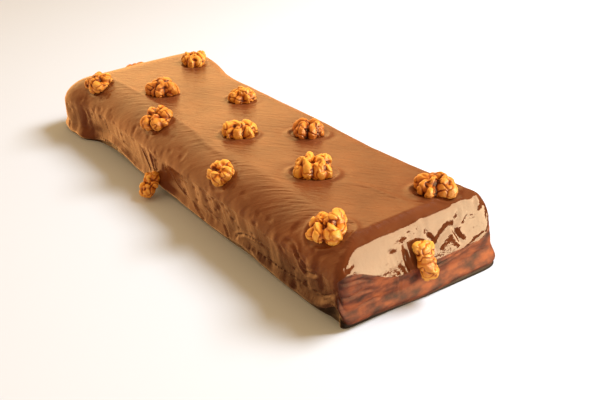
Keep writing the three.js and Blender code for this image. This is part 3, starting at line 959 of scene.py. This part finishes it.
def glazeMaterial():
    look = glazeLook
    material, nodes, links, bsdf = shader("milkChocolateGlaze")
    bsdf.inputs["IOR"].default_value = look["ior"]
    where = nodes.new("ShaderNodeTexCoord").outputs["Object"]
    patches = noise(nodes, links, where, 1 / look["patchSize"], detail=3)
    dabs = noise(nodes, links, stretched(nodes, links, where, look["wallPatch"]), 1, detail=4)
    first, second, third = look["toneStops"]
    tones = []
    for kind, source in (("plain", patches), ("wall", dabs)):
        deep, middling, light = look[kind]
        tones.append(ramp(nodes, ((first, deep), (third, light), (second, middling))))
        links.new(source, tones[-1].inputs[0])
    wall = attribute(nodes, "lowerWall")
    # the lower wall's tones, partly painted light
    colour = blend(nodes, links, wall, tones[0].outputs[0], tones[1].outputs[0])
    # painted shade low on the left side
    colour = blend(nodes, links, attribute(nodes, "shaded"), colour, look["shaded"])
    # painted shade under the lip
    colour = blend(nodes, links, attribute(nodes, "underLipShadeShare"), colour, look["foot"])
    links.new(colour, bsdf.inputs["Base Color"])

    rough = nodes.new("ShaderNodeMix")
    rough.inputs["A"].default_value = look["satin"]
    rough.inputs["B"].default_value = look["mirror"]
    links.new(attribute(nodes, "mirrorBand"), rough.inputs["Factor"])
    rougher = nodes.new("ShaderNodeMix")
    rougher.inputs["B"].default_value = look["wallRoughness"]
    links.new(wall, rougher.inputs["Factor"])
    links.new(rough.outputs["Result"], rougher.inputs["A"])
    links.new(rougher.outputs["Result"], bsdf.inputs["Roughness"])

    slantwise = stretched(nodes, links, where, look["streakSize"], look["strokeAngle"])
    strokes = nodes.new("ShaderNodeBump")
    strokes.inputs["Distance"].default_value = look["streakDepth"]
    links.new(attribute(nodes, "stroked"), strokes.inputs["Strength"])
    links.new(noise(nodes, links, slantwise, 1, detail=3), strokes.inputs["Height"])
    ruffles = nodes.new("ShaderNodeBump")
    ruffles.inputs["Distance"].default_value = look["ruffleDepth"]
    small = noise(nodes, links, where, 1 / look["ruffleSize"], detail=2)
    links.new(small, ruffles.inputs["Height"])
    links.new(strokes.outputs[0], ruffles.inputs["Normal"])
    links.new(ruffles.outputs[0], bsdf.inputs["Normal"])
    return material


walnutLook = {
    # crease colours are painted shade in the furrows, ridge colours painted highlights on the lobes
    "brown": ((0.06, 0.008, 0.001), (0.38, 0.075, 0.008), (0.8, 0.28, 0.042)),  # crease, flesh, ridge
    "golden": ((0.2, 0.03, 0.002), (0.72, 0.2, 0.014), (0.97, 0.47, 0.07)),
    "ridgeRange": 1.2,
    "blotchSize": 7.0 * mm,
    "blotchRange": (0.3, 0.7),
    "blotchShare": 0.5,
    "roughness": 0.36,
}


def walnutMaterial():
    look = walnutLook
    material, nodes, links, bsdf = shader("walnutFlesh")
    bsdf.inputs["Roughness"].default_value = look["roughness"]
    reach = look["ridgeRange"]
    # darker in the creases and lighter on the ridges: painted shade and painted highlight
    ridge = mapped(nodes, links, attribute(nodes, "ridge"), -reach, reach, 0, 1, easing="LINEAR")
    tones = []
    for kind in ("brown", "golden"):
        crease, plain, light = look[kind]
        tones.append(ramp(nodes, ((0.0, crease), (1.0, light), (0.5, plain))))
        links.new(ridge, tones[-1].inputs[0])
    where = nodes.new("ShaderNodeTexCoord").outputs["Object"]
    blotches = noise(nodes, links, where, 1 / look["blotchSize"], detail=2)
    low, high = look["blotchRange"]
    most = look["blotchShare"]
    uneven = mapped(nodes, links, blotches, low, high, -most, most, easing="LINEAR")
    share = combined(nodes, links, "ADD", attribute(nodes, "golden"), uneven)
    share.use_clamp = True
    colour = blend(nodes, links, share.outputs[0], tones[0].outputs[0], tones[1].outputs[0])
    links.new(colour, bsdf.inputs["Base Color"])
    return material


# The pieces
glaze = glazeMaterial()
flesh = walnutMaterial()
places = walnutPlaces()
cake = makeCake(places, glaze)
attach(cake, "root")
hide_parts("cake")
print("stage 2: loaf with", len(cake.data.polygons), "faces")

tree = walnutTree(flesh)
for number, place in enumerate(places, 1):
    half = makeWalnut(number, place, tree)
    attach(half, "root")
    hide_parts(f"walnut_{number:02d}")
print("stage 3:", len(places), "walnut halves with", len(half.data.polygons), "faces each")


# Floor, light and camera
view = {
    "azimuth": 54.9,
    "elevation": 28.25,
    "roll": -1.74,
    "lens": 46.95,
    "sensor": 36.0,
    "clip": 0.01,
    "place": (503.24, -292.0, 291.14),
}
studio = {
    "floor": (0.72, 0.79, 0.88),
    "floorSize": 3.0,
    "floorDrop": 0.0003,
    "floorRoughness": 0.8,
    "floorSpecular": 0.1,
    "key": 26.0,
    "keyColour": (0.96, 0.97, 1.0),
    "keyPlace": (0.35, 0.84, 1.06),
    "keySize": (0.6, 0.6),
    "keyTarget": (0, 0, 0.02),
    "panel": 47.0,  # the wide low light that the steep end mirrors
    "panelColour": (1.0, 0.75, 0.44),
    "panelPlace": (1.09, 0.55, 0.17),
    "panelSize": (1.3, 0.86),
    "panelTarget": (0.2, 0, 0.03),
    "bright": (3.7, 2.25, 0.85),
    "dim": (3.2, 1.42, 0.44),
    "dark": (0.2, 0.09, 0.04),
    "brightTowards": (-0.6, 0.8),
    "fill": (0.7, 0.46, 0.23),
    "background": (1.0, 1.0, 1.0),
}
# Shares of the mirrored room: what each follows, where it starts and ends, the share at both
brightShares = (
    ("Z", 0.64, 0.88, 1.0, 0.0),
    ("Z", 0.0, 0.12, 0.0, 1.0),
    ("Z", 0.2, 0.5, 0.4, 1.0),
    ("towards", 0.0, 0.5, 0.0, 1.0),
    ("Y", 0.45, 0.7, 1.0, 0.1),
)
dimShares = (
    ("X", -0.5, -0.95, 0.0, 1.0),
    ("Z", -0.65, -0.3, 0.6, 1.0),
)


def makeFloor():
    size, z = studio["floorSize"], -studio["floorDrop"]
    mesh = bpy.data.meshes.new("floor")
    corners = [(-size, -size, z), (size, -size, z), (size, size, z), (-size, size, z)]
    mesh.from_pydata(corners, [], [(0, 1, 2, 3)])
    floor = bpy.data.objects.new("floor", mesh)
    bpy.context.scene.collection.objects.link(floor)
    material, _, _, bsdf = shader("paleFloor")
    bsdf.inputs["Base Color"].default_value = (*studio["floor"], 1)
    bsdf.inputs["Roughness"].default_value = studio["floorRoughness"]
    bsdf.inputs["Specular IOR Level"].default_value = studio["floorSpecular"]
    mesh.materials.append(material)
    floor.visible_glossy = False  # the glaze mirrors the room below the horizon, not the white floor


def product(nodes, links, sources, shares):
    made = [mapped(nodes, links, sources[follows], *limits) for follows, *limits in shares]
    total = made[0]
    for share in made[1:]:
        total = combined(nodes, links, "MULTIPLY", total, share).outputs[0]
    return total


# Mirrored rays see a directional room, the others an even soft light
def makeWorld():
    world = bpy.data.worlds.new("studio")
    bpy.context.scene.world = world
    world.use_nodes = True
    nodes, links = world.node_tree.nodes, world.node_tree.links
    where = nodes.new("ShaderNodeTexCoord").outputs["Generated"]
    parts = nodes.new("ShaderNodeSeparateXYZ")
    links.new(where, parts.inputs[0])
    towards = nodes.new("ShaderNodeVectorMath")
    towards.operation = "DOT_PRODUCT"
    links.new(where, towards.inputs[0])
    towards.inputs[1].default_value = (*studio["brightTowards"], 0)
    sources = {axis: parts.outputs[axis] for axis in "XYZ"}
    sources["towards"] = towards.outputs["Value"]
    dim = product(nodes, links, sources, dimShares)
    bright = product(nodes, links, sources, brightShares)
    room = blend(nodes, links, dim, studio["dark"], studio["dim"])
    room = blend(nodes, links, bright, room, studio["bright"])
    path = nodes.new("ShaderNodeLightPath").outputs
    lit = blend(nodes, links, path["Is Glossy Ray"], studio["fill"], room)
    lit = blend(nodes, links, path["Is Camera Ray"], lit, studio["background"])
    links.new(lit, nodes["Background"].inputs["Color"])


# One light serves the body of the surfaces, the other only what they mirror
def makeLight(name, mirrored):
    light = bpy.data.lights.new(name, "AREA")
    light.shape = "RECTANGLE"
    light.energy = studio[name]
    light.size, light.size_y = studio[name + "Size"]
    light.color = studio[name + "Colour"]
    lamp = bpy.data.objects.new(name, light)
    lamp.location = studio[name + "Place"]
    aim = Vector(studio[name + "Target"]) - lamp.location
    lamp.rotation_euler = aim.to_track_quat("-Z", "Y").to_euler()
    lamp.visible_glossy = mirrored
    lamp.visible_diffuse = not mirrored
    bpy.context.scene.collection.objects.link(lamp)


def makeCamera():
    a, e, r = (math.radians(view[k]) for k in ("azimuth", "elevation", "roll"))
    back = Vector((math.sin(a) * math.cos(e), -math.cos(a) * math.cos(e), math.sin(e)))
    level = Vector((math.cos(a), math.sin(a), 0))
    rise = back.cross(level)
    right = level * math.cos(r) + rise * math.sin(r)
    up = rise * math.cos(r) - level * math.sin(r)
    data = bpy.data.cameras.new("camera")
    data.lens = view["lens"]
    data.sensor_width = view["sensor"]
    data.clip_start = view["clip"]
    camera = bpy.data.objects.new("camera", data)
    turned = Matrix((right, up, back)).transposed().to_4x4()
    camera.matrix_world = Matrix.Translation(Vector(view["place"]) * mm) @ turned
    bpy.context.scene.collection.objects.link(camera)
    bpy.context.scene.camera = camera


makeFloor()
makeWorld()
makeLight("key", mirrored=False)
makeLight("panel", mirrored=True)
makeCamera()
bpy.context.scene.view_settings.view_transform = "Standard"
print("stage 4: floor, light and camera")
